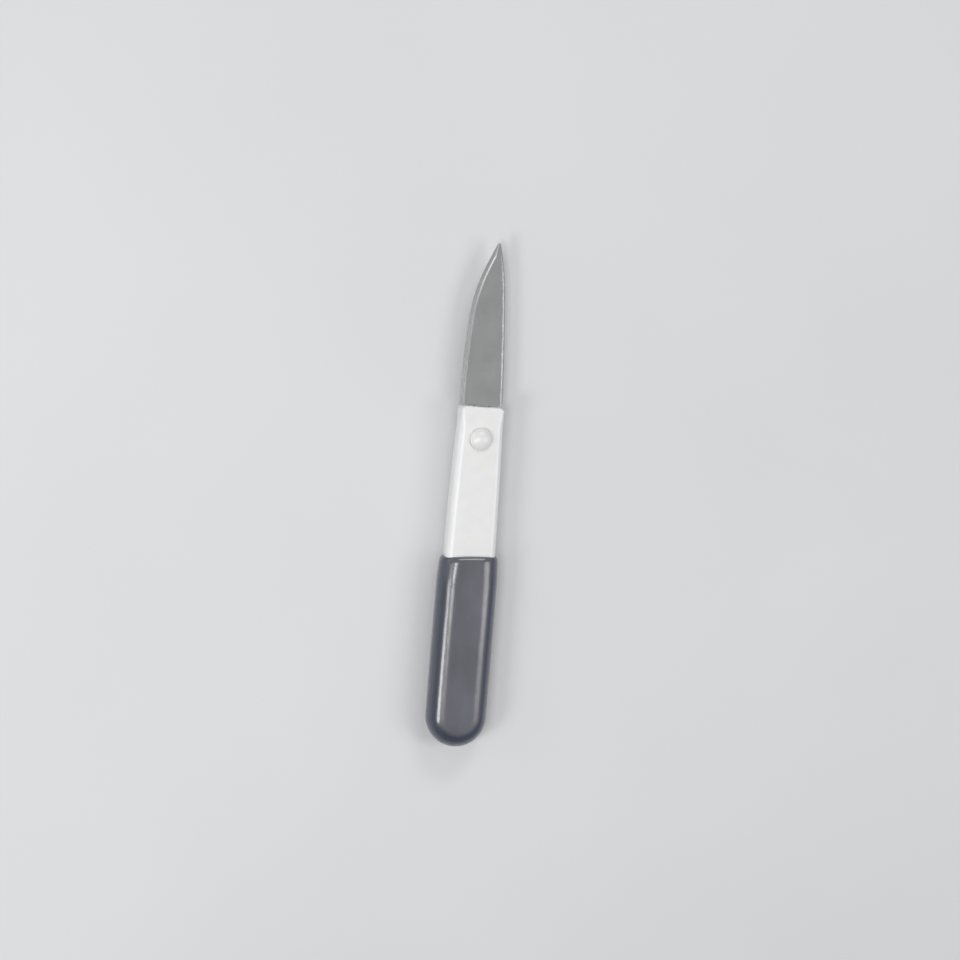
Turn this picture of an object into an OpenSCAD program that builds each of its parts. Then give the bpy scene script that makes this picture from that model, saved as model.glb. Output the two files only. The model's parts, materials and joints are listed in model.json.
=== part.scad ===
// Swivel craft knife. The blade turns freely about the knife's long axis in a ball bearing
// and a nose bush. A sprung push button in the front face locks it at every quarter turn.
// The knife lies on its back: +Y runs towards the blade's tip, +Z out through the button.
// Every part is drawn about the swivel axis, with Y measured from the butt, and place()
// then moves it so that the origin is under the middle of the knife.

/* [Grip sleeve] */
// Length of the soft sleeve, from the butt to its lip
grip_l = 63.2; // [58:0.2:64]
// Width across the sleeve
grip_w = 19.8; // [19.4:0.2:21]
// Thickness of the sleeve
grip_t = 12.8; // [12.6:0.2:14]
// Radius along the sleeve's edges
grip_edge_r = 6; // [4:0.5:6]
// Wall of the sleeve at the butt
butt_wall = 2; // [1.5:0.25:3]

/* [Handle body] */
// Length of the handle, from the butt to the mouth
handle_l = 112; // [111.4:0.2:114]
// Width of the handle body at its widest
body_w = 16.2; // [16:0.2:16.8]
// Thickness of the handle body
body_t = 9.2; // [9.2:0.1:9.6]
// Radius along the body's long edges
body_edge_r = 2.1; // [1.5:0.1:2.5]
// Radius of the sweep that narrows the sides towards the nose
side_sweep_r = 1316; // [1200:1:1500]
// Corner radius at the nose, seen from the front
nose_corner_r = 1.5; // [1:0.1:2]
// Corner radius at the nose, seen from the side
nose_edge_r = 0.8; // [0.4:0.1:1]

/* [Blade] */
// Length of the blade outside the handle
blade_l = 52.65; // [50:0.05:56]
// Thickness of the blade
blade_t = 1; // [0.8:0.1:1.3]
// Distance from the swivel axis to the cutting edge at the heel
edge_reach = 7.3; // [6.5:0.1:7.5]
// Distance from the swivel axis to the spine at the heel
spine_reach = 6.9; // [6:0.05:7]
// Distance of the blade's tip to the right of the swivel axis
tip_x = 1.2; // [0:0.1:2]
// Width of the ground bevel
bevel_w = 1.6; // [1:0.1:2]
// Width of the tang
tang_w = 4; // [3.4:0.1:4]
// Gap between the mouth and the blade's heel
heel_gap = 0.35; // [0.25:0.05:0.5]

/* [Spindle] */
// Diameter of the spindle's head
head_d = 6; // [5.8:0.1:6]
// Diameter of the spindle's shaft
shaft_d = 3.8; // [3.6:0.1:3.8]
// Radial running clearance of the spindle
run_gap = 0.05; // [0.03:0.01:0.08]
// Depth of each lock hole
lock_hole_depth = 0.9; // [0.85:0.05:0.95]

/* [Button] */
// Distance from the butt to the middle of the button
button_s = 101.6; // [100.5:0.1:101.8]
// Diameter of the button
button_d = 7.36; // [7.2:0.04:7.4]
// Height of the button above the front face
button_rise = 2.3; // [2.1:0.1:2.4]
// Travel of the button
button_travel = 0.9; // [0.8:0.05:0.9]

/* [Fasteners] */
// Diameter of the screw heads
screw_head_d = 2.6; // [2.4:0.1:2.8]
// Diameter of the screw shanks
screw_d = 1.5; // [1.4:0.1:1.6]
// Diameter of the locating pins
dowel_d = 1.5; // [1.3:0.1:1.6]

/* [Hidden] */
$fn = 48;

overall_l = handle_l + heel_gap + blade_l;
axis_z = grip_t / 2;
slip = 0.02;            // gap between fixed parts that are assembled by hand
fit_gap = 0.1;          // gap round screws, lugs and the tang
over = 0.5;             // how far a cutting shape runs past the face it cuts
front_z = body_t / 2;   // front face of the body, above the swivel axis

// Handle body: straight as far as sweep_s, then swept in towards the nose
sweep_s = 56;

// Blade: the cutting edge is a long arc, a tighter arc from belly_s on and a straight run to
// the tip. The spine is a shallow arc that drops to the tip over its last stretch.
heel_s = handle_l + heel_gap;
edge_start_s = heel_s + 3;
edge_r = 330;
belly_s = heel_s + 0.53 * blade_l;
belly_r = 50;
belly_slope = (belly_s - edge_start_s) / edge_r;
spine_slope = 0.038;
spine_r = 900;
drop_l = 16;
tip_w = 0.8;
edge_half_t = 0.03;

// Spindle stack, as distances from the butt
head_s = handle_l - 6;
head_end_s = handle_l - 0.5;
head_gap = 0.2;
bush_s = head_s + 0.5;
bush_end_s = handle_l - 1;
bush_od = 7.4;
mouth_d = head_d + 0.6;
socket_s = head_s + 0.5;
tang_pin_d = 0.9;
tang_pin_ss = [socket_s + 1.3, socket_s + 3.7];
seat_d = 3;
spindle_s = 84.6;
bearing_s = 87.5;
bearing_w = 2.5;
bearing_end_s = bearing_s + bearing_w;
clip_t = 0.5;
shim_t = 0.3;
clip_s = bearing_s - shim_t - clip_t;
clip_groove_d = 2.3;
tunnel_d = shaft_d + 0.6;
end_room_d = 5.2;
end_room_l = 1;
tang_s = socket_s + fit_gap;
tang_root = 1;          // how far the tang's strip runs into the blade
tang_pin_inset = 0.2;

// Ball bearing: 3 mm bore, 6 mm outside
bearing_od = 6;
pitch_d = 4.5;
ball_d = 0.9;
ball_count = 8;
ball_gap = 0.02;
inner_land_d = 4;
outer_land_d = 5;
cage_wall = 0.34;
cage_w = 1.5;
shield_t = 0.15;
shield_inset = 0.1;

// Drag ring: a rubber ring in a groove of the shaft
ring_s = 94.2;
ring_wire_d = 1;
ring_groove_d = 2.9;
ring_mid_d = ring_groove_d + ring_wire_d;
ring_groove_w = 1.2;
ring_room_w = 1.8;

// Button, as heights above the swivel axis
wall_t = 1;
dome_h = 1.8;
button_gap = 0.08;
button_top_z = front_z + button_rise;
dome_r = (pow(button_d / 2, 2) + dome_h * dome_h) / (2 * dome_h);
wall_under_z = front_z - wall_t;
lug_t = 0.5;
lug_r = 4.4;
lug_w = 4.8;
lug_z = wall_under_z - run_gap - lug_t;
pocket_gap = 0.15;      // left under the lugs when the button is pressed home
pocket_z = lug_z - button_travel - pocket_gap;
skirt_inner_d = 6;
spring_roof_z = 5.3;
spring_roof_d = 5.3;
pin_d = 1;
pin_tip_z = shaft_d / 2 + 0.12;
pin_top_z = 5.95;
boss_d = 2;
boss_z = 4.4;
skirt_roof_z = 4.5;
lock_hole_d = 1.2;
seat_top_z = 2.35;
seat_bottom_z = -3.2;
seat_block_d = 5.7;
spring_d = 4.5;
wire_d = 0.36;
spring_turns = 3.5;

// Fasteners: pairs on the nose and the waist, and two under the sleeve
screw_xs = [[-5.4, 107], [5.4, 107], [-5.4, 76], [5.4, 76], [0, 44], [0, 16]];
dowel_xs = [[5.3, 95], [-5.3, 66]];
screw_recess = 1.2;
screw_head_h = 1;
screw_tip_z = 3;
pilot_gap = 0.2;
dowel_half_l = 1.8;

// Hollows inside the body: [from, to, half-width]
hollows = [[6.5, 12.5, 5], [19.5, 40.5, 6.2], [47.5, 61.5, 6.2], [65, 80.5, 3.6]];
hollow_z = 2.9;

module place() {
    translate([0, -overall_l / 2, axis_z]) children();
}

// A cylinder or a turned shape that lies along the swivel axis
module along_axis(s) {
    translate([0, s, 0]) rotate([-90, 0, 0]) children();
}

module rod(d, s1, s2) {
    along_axis(s1) cylinder(d = d, h = s2 - s1);
}

module tube(outer_d, inner_d, s1, s2) {
    difference() {
        rod(outer_d, s1, s2);
        rod(inner_d, s1 - over, s2 + over);
    }
}

// Rounded rectangle, w wide and t thick
module section(w, t, r) {
    for (x = [-1, 1]) for (z = [-1, 1])
        translate([x * (w / 2 - r), z * (t / 2 - r)]) circle(r);
    square([w - 2 * r, t], center = true);
    square([w, t - 2 * r], center = true);
}

// Slab with rounded edges and a half-round butt. It starts at s1 and is cut off square at s2.
module slab(w, t, r, s1, s2) {
    mid_s = s1 + w / 2;
    translate([0, s2, 0]) rotate([90, 0, 0]) linear_extrude(s2 - mid_s) section(w, t, r);
    translate([0, mid_s, 0]) rotate([0, 0, 180]) rotate_extrude(angle = 180, $fn = 96)
        intersection() {
            section(w, t, r);
            translate([0, -t]) square([w, 2 * t]);
        }
}

// Width from the swivel axis to the body's side at distance s from the butt
function body_half_w(s) =
    body_w / 2 - side_sweep_r + sqrt(pow(side_sweep_r, 2) - pow(s - sweep_s, 2));

// A band that ends in the body's swept right side, from sweep_s to beyond the nose
module swept_side() {
    sweep_angle = 3;
    corner_x = side_sweep_r - body_edge_r;
    corner_z = body_t / 2 - body_edge_r;
    band_x = side_sweep_r - 2 * body_w;
    translate([body_w / 2 - side_sweep_r, sweep_s, 0])
        rotate_extrude(angle = sweep_angle, $fn = 720) {
            translate([band_x, -body_t / 2]) square([corner_x - band_x, body_t]);
            translate([band_x, -corner_z]) square([side_sweep_r - band_x, 2 * corner_z]);
            for (z = [-1, 1]) translate([corner_x, z * corner_z]) circle(body_edge_r);
        }
}

// What rounds the right corner of the nose, seen from the front. The round starts just outside
// the side, so that it meets the side's sweep at an angle and leaves no sliver.
module nose_corner() {
    lead = 0.05;
    corner_s = handle_l - nose_corner_r;
    corner_x = body_half_w(corner_s) - nose_corner_r + lead;
    translate([corner_x, corner_s, -body_t]) difference() {
        cube([body_w, body_w, 2 * body_t]);
        translate([0, 0, -over]) cylinder(r = nose_corner_r, h = 2 * body_t + 2 * over);
    }
}

// What rounds the front edge of the nose, seen from the side
module nose_edge() {
    translate([-body_w, handle_l - nose_edge_r, front_z - nose_edge_r]) difference() {
        cube([2 * body_w, body_w, body_t]);
        translate([-over, 0, 0]) rotate([0, 90, 0])
            cylinder(r = nose_edge_r, h = 2 * (body_w + over));
    }
}

// Half of the body in front of the split plane, without its hollows
module body_half() {
    difference() {
        intersection() {
            swept_side();
            mirror([1, 0, 0]) swept_side();
            translate([-body_w, sweep_s - 1, 0]) cube([2 * body_w, handle_l - sweep_s + 1, body_t]);
        }
        nose_corner();
        mirror([1, 0, 0]) nose_corner();
        nose_edge();
    }
    intersection() {
        slab(body_w, body_t, body_edge_r, butt_wall, sweep_s);
        translate([-body_w, 0, 0]) cube([2 * body_w, handle_l, body_t]);
    }
}

// What both shells leave free for the spindle, its bearing and its bush
module spindle_room() {
    rod(end_room_d, spindle_s - end_room_l, bearing_s);
    rod(bearing_od + 2 * slip, bearing_s - slip, bearing_end_s + slip);
    rod(tunnel_d, bearing_end_s, head_s);
    rod(ring_mid_d + ring_wire_d + 2 * run_gap, ring_s - ring_room_w / 2, ring_s + ring_room_w / 2);
    rod(mouth_d, head_s - head_gap, handle_l + over);
    rod(bush_od + 2 * slip, bush_s - slip, bush_end_s + slip);
}

module hollow_room() {
    for (h = hollows)
        translate([-h[2], h[0], -over]) cube([2 * h[2], h[1] - h[0], hollow_z + over]);
}

module dowel_holes() {
    for (p = dowel_xs)
        translate([p[0], p[1], -over])
            cylinder(d = dowel_d + 2 * slip, h = over + dowel_half_l + fit_gap);
}

// The button's two lugs, as one disc with straight sides. It is r in radius and w wide.
module lug_pair(r, w, h) {
    intersection() {
        cylinder(r = r, h = h);
        translate([-r - over, -w / 2, 0]) cube([2 * (r + over), w, h]);
    }
}

module front_shell() {
    color("whitesmoke") place() difference() {
        body_half();
        spindle_room();
        hollow_room();
        dowel_holes();
        for (p = screw_xs)
            translate([p[0], p[1], -over])
                cylinder(d = screw_d + 2 * slip, h = over + screw_tip_z + pilot_gap);
        translate([0, button_s, -over])
            cylinder(d = seat_block_d + 2 * slip, h = over + pocket_z + over);
        translate([0, button_s, pocket_z]) cylinder(d = button_d + 2 * button_gap, h = body_t);
        translate([0, button_s, pocket_z])
            lug_pair(lug_r + fit_gap, lug_w + 2 * fit_gap, wall_under_z - pocket_z);
    }
}

module back_shell() {
    color("whitesmoke") place() mirror([0, 0, 1]) difference() {
        body_half();
        spindle_room();
        hollow_room();
        dowel_holes();
        for (p = screw_xs) translate([p[0], p[1], 0]) {
            translate([0, 0, -over]) cylinder(d = screw_d + 2 * fit_gap, h = body_t);
            translate([0, 0, front_z - screw_recess])
                cylinder(d = screw_head_d + 2 * fit_gap, h = body_t);
        }
        translate([0, button_s, -over])
            cylinder(d = seat_block_d + 2 * slip, h = over + slip - seat_bottom_z);
    }
}

module grip_sleeve() {
    color("slategray") place() difference() {
        slab(grip_w, grip_t, grip_edge_r, 0, grip_l);
        slab(body_w + 2 * slip, body_t + 2 * slip, body_edge_r, butt_wall - slip, grip_l + over);
    }
}

// One screw, seen with its head on the far side of z = 0
module screw(shank_l) {
    recess_w = 0.4;
    recess_l = 1.6;
    recess_depth = 0.6;
    difference() {
        union() {
            translate([0, 0, -screw_head_h]) cylinder(d = screw_head_d, h = screw_head_h);
            translate([0, 0, -slip]) cylinder(d = screw_d, h = shank_l - screw_d / 2);
            translate([0, 0, shank_l - screw_d / 2 - 2 * slip])
                cylinder(d1 = screw_d, d2 = screw_d / 4, h = screw_d / 2);
        }
        for (a = [0, 90]) rotate([0, 0, a])
            translate([-recess_l / 2, -recess_w / 2, -screw_head_h - over])
                cube([recess_l, recess_w, over + recess_depth]);
    }
}

module shell_screws() {
    seat_z = -front_z + screw_recess;
    color("silver") place() for (p = screw_xs)
        translate([p[0], p[1], seat_z]) screw(screw_tip_z - seat_z);
}

module locating_pins() {
    color("silver") place() for (p = dowel_xs)
        translate([p[0], p[1], -dowel_half_l]) cylinder(d = dowel_d, h = 2 * dowel_half_l);
}

module nose_bush() {
    color("peru") place() tube(bush_od, head_d + 2 * run_gap, bush_s, bush_end_s);
}

module ball_groove() {
    along_axis(bearing_s + bearing_w / 2) rotate_extrude()
        translate([pitch_d / 2, 0]) circle(d = ball_d + 2 * ball_gap);
}

module bearing_outer_race() {
    color("gainsboro") place() difference() {
        tube(bearing_od, outer_land_d, bearing_s, bearing_end_s);
        ball_groove();
    }
}

module bearing_inner_race() {
    color("gainsboro") place() difference() {
        tube(inner_land_d, seat_d + 2 * slip, bearing_s, bearing_end_s);
        ball_groove();
    }
}

module bearing_shields() {
    inner_d = inner_land_d + 4 * slip;
    color("silver") place() {
        tube(outer_land_d, inner_d, bearing_s + shield_inset,
            bearing_s + shield_inset + shield_t);
        tube(outer_land_d, inner_d, bearing_end_s - shield_inset - shield_t,
            bearing_end_s - shield_inset);
    }
}

// Every ball's place, in the middle of the bearing
module at_balls() {
    along_axis(bearing_s + bearing_w / 2)
        for (i = [0 : ball_count - 1]) rotate([0, 0, i * 360 / ball_count])
            translate([pitch_d / 2, 0, 0]) children();
}

module bearing_balls() {
    color("silver") place() at_balls() sphere(d = ball_d);
}

module ball_cage() {
    mid_s = bearing_s + bearing_w / 2;
    color("goldenrod") place() difference() {
        tube(pitch_d + cage_wall, pitch_d - cage_wall, mid_s - cage_w / 2, mid_s + cage_w / 2);
        at_balls() rotate([0, 90, 0])
            cylinder(d = ball_d + 3 * ball_gap, h = pitch_d / 2, center = true);
    }
}

module spring_seat() {
    color("burlywood") place() difference() {
        translate([0, button_s, seat_bottom_z])
            cylinder(d = seat_block_d, h = seat_top_z - seat_bottom_z);
        rod(shaft_d + 2 * run_gap, button_s - seat_block_d, button_s + seat_block_d);
        translate([0, button_s, 0]) cylinder(d = pin_d + 2 * run_gap, h = body_t);
    }
}

function long_edge_x(s) = -edge_reach + pow(max(s - edge_start_s, 0), 2) / (2 * edge_r);
function edge_x(s) = s < belly_s ? long_edge_x(s) :
    let (d = s - belly_s, run = overall_l - belly_s,
         start = long_edge_x(belly_s),
         left = tip_x - start - belly_slope * run,
         bend = run * (1 - sqrt(max(0, 1 - 2 * belly_r * left / (run * run)))))
    d < bend ? start + belly_slope * d + d * d / (2 * belly_r)
             : start + belly_slope * d + bend * bend / (2 * belly_r) + bend / belly_r * (d - bend);

function long_spine_x(d) = spine_reach - spine_slope * d - d * d / (2 * spine_r);
function spine_x(s) = let (d = s - heel_s, fall = max(0, d - blade_l + drop_l))
    long_spine_x(d) - (long_spine_x(blade_l) - tip_x - tip_w) * pow(fall / drop_l, 2);

// The blade's body in rings of six points: edge, front shoulder, front spine, and back again
module blade_body() {
    steps = 36;
    half_t = blade_t / 2;
    crowding = 1.25;    // above 1, the rings crowd towards the tip
    bevel_share = 0.5;  // of the width, where the blade is too narrow for the whole bevel
    stations = [for (i = [0 : steps]) heel_s + blade_l * (1 - pow(1 - i / steps, crowding))];
    rings = [for (s = stations)
        let (e = edge_x(s), b = spine_x(s), shoulder = e + min(bevel_w, bevel_share * (b - e)))
        [[e, s, -edge_half_t], [e, s, edge_half_t], [shoulder, s, half_t], [b, s, half_t],
         [b, s, -half_t], [shoulder, s, -half_t]]];
    points = [for (ring = rings) for (p = ring) p];
    sides = [for (i = [0 : steps - 1]) for (k = [0 : 5])
        let (a = 6 * i + k, b = 6 * i + (k + 1) % 6)
        each [[a, b + 6, b], [a, a + 6, b + 6]]];
    heel = [[for (k = [0 : 5]) k]];
    tip = [[for (k = [5 : -1 : 0]) 6 * steps + k]];
    polyhedron(points = points, faces = concat(heel, sides, tip), convexity = 4);
}

module tang_pin_row(d, half_l) {
    for (s = tang_pin_ss) translate([0, s, -half_l]) cylinder(d = d, h = 2 * half_l);
}

module blade() {
    color("lightgray") place() difference() {
        union() {
            blade_body();
            translate([-tang_w / 2, tang_s, -blade_t / 2])
                cube([tang_w, heel_s + tang_root - tang_s, blade_t]);
        }
        tang_pin_row(tang_pin_d + 2 * slip, blade_t);
    }
}

module spindle() {
    socket_w = tang_w + fit_gap;
    socket_t = blade_t + fit_gap;
    color("darkgray") place() difference() {
        union() {
            rod(seat_d, spindle_s, bearing_end_s);
            rod(shaft_d, bearing_end_s, head_s);
            rod(head_d, head_s, head_end_s);
        }
        tube(seat_d + over, clip_groove_d, clip_s - slip, clip_s + clip_t + slip);
        tube(shaft_d + over, ring_groove_d, ring_s - ring_groove_w / 2, ring_s + ring_groove_w / 2);
        for (a = [0 : 90 : 270]) translate([0, button_s, 0]) rotate([0, a, 0])
            translate([0, 0, shaft_d / 2 - lock_hole_depth])
                cylinder(d = lock_hole_d, h = lock_hole_depth + over);
        translate([-socket_w / 2, socket_s, -socket_t / 2]) cube([socket_w, handle_l, socket_t]);
        tang_pin_row(tang_pin_d + 2 * slip, head_d);
    }
}

module tang_pins() {
    color("silver") place() tang_pin_row(tang_pin_d, head_d / 2 - tang_pin_inset);
}

module shim_washer() {
    color("silver") place() tube(inner_land_d, seat_d + 2 * slip, bearing_s - shim_t, bearing_s);
}

module retaining_clip() {
    clip_od = 4.7;
    jaw = 1.9;
    lobe_d = 0.7;
    lobe_x = 1.4;
    lobe_y = 0.6;
    color("dimgray") place() along_axis(clip_s) linear_extrude(clip_t) difference() {
        circle(d = clip_od);
        circle(d = clip_groove_d + 2 * slip);
        translate([-jaw / 2, -clip_od]) square([jaw, clip_od]);
        for (x = [-lobe_x, lobe_x]) translate([x, lobe_y]) circle(d = lobe_d);
    }
}

module drag_ring() {
    color("black") place() along_axis(ring_s) rotate_extrude()
        translate([ring_mid_d / 2, 0]) circle(d = ring_wire_d - slip);
}

module button_cap() {
    color("white") place() translate([0, button_s, 0]) difference() {
        union() {
            translate([0, 0, lug_z])
                cylinder(d = button_d, h = button_top_z - dome_h - lug_z);
            intersection() {
                translate([0, 0, button_top_z - dome_r]) sphere(r = dome_r, $fn = 96);
                translate([0, 0, button_top_z - dome_h - slip])
                    cylinder(d = button_d, h = dome_h + over);
            }
            translate([0, 0, lug_z]) lug_pair(lug_r, lug_w, lug_t);
        }
        difference() {
            union() {
                translate([0, 0, lug_z - over])
                    cylinder(d = skirt_inner_d, h = over + skirt_roof_z - lug_z);
                translate([0, 0, boss_z]) cylinder(d = spring_roof_d, h = spring_roof_z - boss_z);
            }
            translate([0, 0, boss_z]) cylinder(d = boss_d, h = spring_roof_z);
        }
        translate([0, 0, boss_z - over])
            cylinder(d = pin_d + 2 * slip, h = over + pin_top_z + slip - boss_z);
    }
}

module lock_pin() {
    color("silver") place() translate([0, button_s, pin_tip_z])
        cylinder(d = pin_d, h = pin_top_z - pin_tip_z);
}

// A round wire wound into a helix between the seat and the cap's roof
module button_spring() {
    steps_per_turn = 20;
    sides = 8;
    steps = spring_turns * steps_per_turn;
    z1 = seat_top_z + wire_d / 2 + slip;
    z2 = spring_roof_z - wire_d / 2 - slip;
    points = [for (i = [0 : steps]) for (k = [0 : sides - 1])
        let (a = i * 360 / steps_per_turn, b = k * 360 / sides,
             r = spring_d / 2 + wire_d / 2 * cos(b))
        [r * cos(a), r * sin(a), z1 + (z2 - z1) * i / steps + wire_d / 2 * sin(b)]];
    walls = [for (i = [0 : steps - 1]) for (k = [0 : sides - 1])
        let (a = sides * i + k, b = sides * i + (k + 1) % sides)
        each [[a, b + sides, a + sides], [a, b, b + sides]]];
    start = [[for (k = [sides - 1 : -1 : 0]) k]];
    end = [[for (k = [0 : sides - 1]) sides * steps + k]];
    color("silver") place() translate([0, button_s, 0])
        polyhedron(points = points, faces = concat(start, walls, end), convexity = 6);
}

front_shell();
back_shell();
grip_sleeve();
shell_screws();
locating_pins();
nose_bush();
bearing_outer_race();
bearing_shields();
spring_seat();
blade();
spindle();
tang_pins();
bearing_inner_race();
shim_washer();
retaining_clip();
drag_ring();
bearing_balls();
ball_cage();
button_cap();
lock_pin();
button_spring();
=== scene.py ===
import json
import math

import bmesh
import bpy
from mathutils import Matrix, Vector


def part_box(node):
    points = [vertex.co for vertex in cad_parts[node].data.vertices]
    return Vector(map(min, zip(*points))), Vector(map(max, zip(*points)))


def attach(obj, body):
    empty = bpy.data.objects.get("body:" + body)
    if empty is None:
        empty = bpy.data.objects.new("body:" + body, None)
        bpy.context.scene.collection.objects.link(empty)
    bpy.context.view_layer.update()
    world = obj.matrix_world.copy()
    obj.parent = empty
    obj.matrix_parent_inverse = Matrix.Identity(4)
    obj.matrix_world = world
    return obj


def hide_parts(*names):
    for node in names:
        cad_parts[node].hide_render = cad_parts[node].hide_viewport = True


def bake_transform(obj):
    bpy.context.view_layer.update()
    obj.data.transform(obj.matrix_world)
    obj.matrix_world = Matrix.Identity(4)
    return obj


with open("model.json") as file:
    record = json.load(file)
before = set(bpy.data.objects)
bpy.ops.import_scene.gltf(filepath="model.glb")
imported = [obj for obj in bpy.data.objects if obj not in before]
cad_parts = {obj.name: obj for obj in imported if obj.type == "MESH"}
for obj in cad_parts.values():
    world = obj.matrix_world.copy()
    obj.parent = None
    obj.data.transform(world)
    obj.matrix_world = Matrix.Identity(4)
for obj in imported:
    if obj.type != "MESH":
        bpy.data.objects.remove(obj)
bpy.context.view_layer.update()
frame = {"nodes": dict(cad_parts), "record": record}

# ---------------------------------------------------------------- sizes, in millimetres
# Pieces are drawn like the CAD: x to the right, s along the knife from the butt,
# z above the swivel axis. to_frame() turns that into the frame's metres.
MM = 0.001


def box_mm(node):
    """A CAD node's lowest and highest corner, in millimetres."""
    lo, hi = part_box(node)
    return Vector(lo) / MM, Vector(hi) / MM


sleeve_lo, sleeve_hi = box_mm("grip_sleeve")
shell_lo, shell_hi = box_mm("front_shell")
blade_lo, blade_hi = box_mm("blade")
bush_lo, bush_hi = box_mm("nose_bush")
_, cap_hi = box_mm("button_cap")
seat_lo, seat_hi = box_mm("spring_seat")

BUTT_Y = sleeve_lo.y
AXIS_Z = (bush_lo.z + bush_hi.z) / 2
OVERALL_L = blade_hi.y - BUTT_Y
GRIP_L = sleeve_hi.y - BUTT_Y
GRIP_W = sleeve_hi.x - sleeve_lo.x
GRIP_T = sleeve_hi.z - sleeve_lo.z
HANDLE_L = shell_hi.y - BUTT_Y
BODY_W = shell_hi.x - shell_lo.x
BODY_T = 2 * (shell_hi.z - AXIS_Z)
BUTTON_S = (seat_lo.y + seat_hi.y) / 2 - BUTT_Y
BUTTON_TOP_Z = cap_hi.z - AXIS_Z
BLADE_T = blade_hi.z - blade_lo.z

GRIP_EDGE_R = 6.0       # round along the sleeve's long edges
BUTT_WALL = shell_lo.y - BUTT_Y  # the sleeve's wall behind the shells
BODY_EDGE_R = 2.1       # round along the body's long edges
NOSE_CORNER_R = 1.5     # the body's two corners beside the mouth
NOSE_EDGE_R = 0.7       # what the body's front edges tighten to at the mouth,
NOSE_EDGE_RUN = 7       # over this length
SIDE_SWEEP_R = 1316.0   # arc on which the body's sides draw in towards the mouth,
SWEEP_S = 56.0          # from here on
PARTING_W = 0.1         # bevel along the split between the shells
SLIP = 0.02             # gap between fixed parts that are assembled by hand


def to_frame(x, s, z):
    """A point of the knife in the frame's metres."""
    return Vector((x, s + BUTT_Y, z + AXIS_Z)) * MM


def smoothstep(t):
    """Eases from 0 to 1 as t goes from 0 to 1."""
    t = min(1.0, max(0.0, t))
    return t * t * (3 - 2 * t)


# ---------------------------------------------------------------- camera, as the photograph sees it
LENS_MM, SENSOR_MM = 135.0, 36.0
FRAME_W = 311.8 * MM       # width that the picture covers at the knife
LEFT_ANGLE = math.radians(11)  # how far the camera stands to the left of overhead
TIP_ANGLE = math.radians(6)    # and towards the tip
LEAN = math.radians(4.74)  # how far the knife leans to the right in the picture
SHIFT_RIGHT, SHIFT_UP = 2.03 * MM, 5.24 * MM  # the picture's middle, from the knife's middle


def add_camera():
    back = Vector((-math.sin(LEFT_ANGLE), math.sin(TIP_ANGLE), 0))
    back.z = math.sqrt(1 - back.length_squared)
    along = Vector((0, 1, 0))
    along = (along - along.dot(back) * back).normalized()
    across = along.cross(back)
    up = along * math.cos(LEAN) - across * math.sin(LEAN)
    right = up.cross(back)
    aim = to_frame(0, OVERALL_L / 2, 0) + right * SHIFT_RIGHT + up * SHIFT_UP
    data = bpy.data.cameras.new("camera")
    data.lens = LENS_MM
    data.sensor_width = SENSOR_MM
    camera = bpy.data.objects.new("camera", data)
    bpy.context.collection.objects.link(camera)
    camera.location = aim + back * (FRAME_W * LENS_MM / SENSOR_MM)
    camera.rotation_euler = Matrix((right, up, back)).transposed().to_euler()
    bpy.context.scene.camera = camera


add_camera()


# ---------------------------------------------------------------- materials
def new_material(name, colour, roughness, metallic=0.0, **inputs):
    """A Principled material, with the named shader inputs set on its own sockets."""
    mat = bpy.data.materials.new(name)
    mat.use_nodes = True
    shader = mat.node_tree.nodes["Principled BSDF"]
    shader.inputs["Base Color"].default_value = (*colour, 1)
    shader.inputs["Roughness"].default_value = roughness
    shader.inputs["Metallic"].default_value = metallic
    for key, value in inputs.items():
        shader.inputs[key.replace("_", " ")].default_value = value
    return mat, shader


def noise(mat, scale, detail=3.0, stretch=(1, 1, 1)):
    """A noise texture's output in object space. scale is in features per metre."""
    nodes, links = mat.node_tree.nodes, mat.node_tree.links
    place = nodes.new("ShaderNodeTexCoord")
    mapping = nodes.new("ShaderNodeMapping")
    mapping.inputs["Scale"].default_value = stretch
    texture = nodes.new("ShaderNodeTexNoise")
    texture.inputs["Scale"].default_value = scale
    texture.inputs["Detail"].default_value = detail
    links.new(place.outputs["Object"], mapping.inputs["Vector"])
    links.new(mapping.outputs["Vector"], texture.inputs["Vector"])
    return texture.outputs["Fac"]


def spread(mat, source, low, high, socket, start=0.3, end=0.7):
    """Drives a number socket from low to high as source goes from start to end."""
    node = mat.node_tree.nodes.new("ShaderNodeMapRange")
    node.inputs["From Min"].default_value = start
    node.inputs["From Max"].default_value = end
    node.inputs["To Min"].default_value = low
    node.inputs["To Max"].default_value = high
    mat.node_tree.links.new(source, node.inputs["Value"])
    mat.node_tree.links.new(node.outputs["Result"], socket)


def tint(mat, source, dark, light, socket, start=0.3, end=0.7):
    """Drives a colour socket from dark to light."""
    ramp = mat.node_tree.nodes.new("ShaderNodeValToRGB")
    ramp.color_ramp.elements[0].position = start
    ramp.color_ramp.elements[0].color = (*dark, 1)
    ramp.color_ramp.elements[1].position = end
    ramp.color_ramp.elements[1].color = (*light, 1)
    mat.node_tree.links.new(source, ramp.inputs["Fac"])
    mat.node_tree.links.new(ramp.outputs["Color"], socket)


def bump(mat, shader, layers, socket="Normal"):
    """Stacks bumps. Each layer is (source, height in metres, strength)."""
    normal = None
    for source, height, strength in layers:
        node = mat.node_tree.nodes.new("ShaderNodeBump")
        node.inputs["Distance"].default_value = height
        node.inputs["Strength"].default_value = strength
        mat.node_tree.links.new(source, node.inputs["Height"])
        if normal is not None:
            mat.node_tree.links.new(normal, node.inputs["Normal"])
        normal = node.outputs["Normal"]
    mat.node_tree.links.new(normal, shader.inputs[socket])


def scaled(colour, factor):
    """A lighter or darker colour."""
    return tuple(min(1.0, c * factor) for c in colour)


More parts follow.
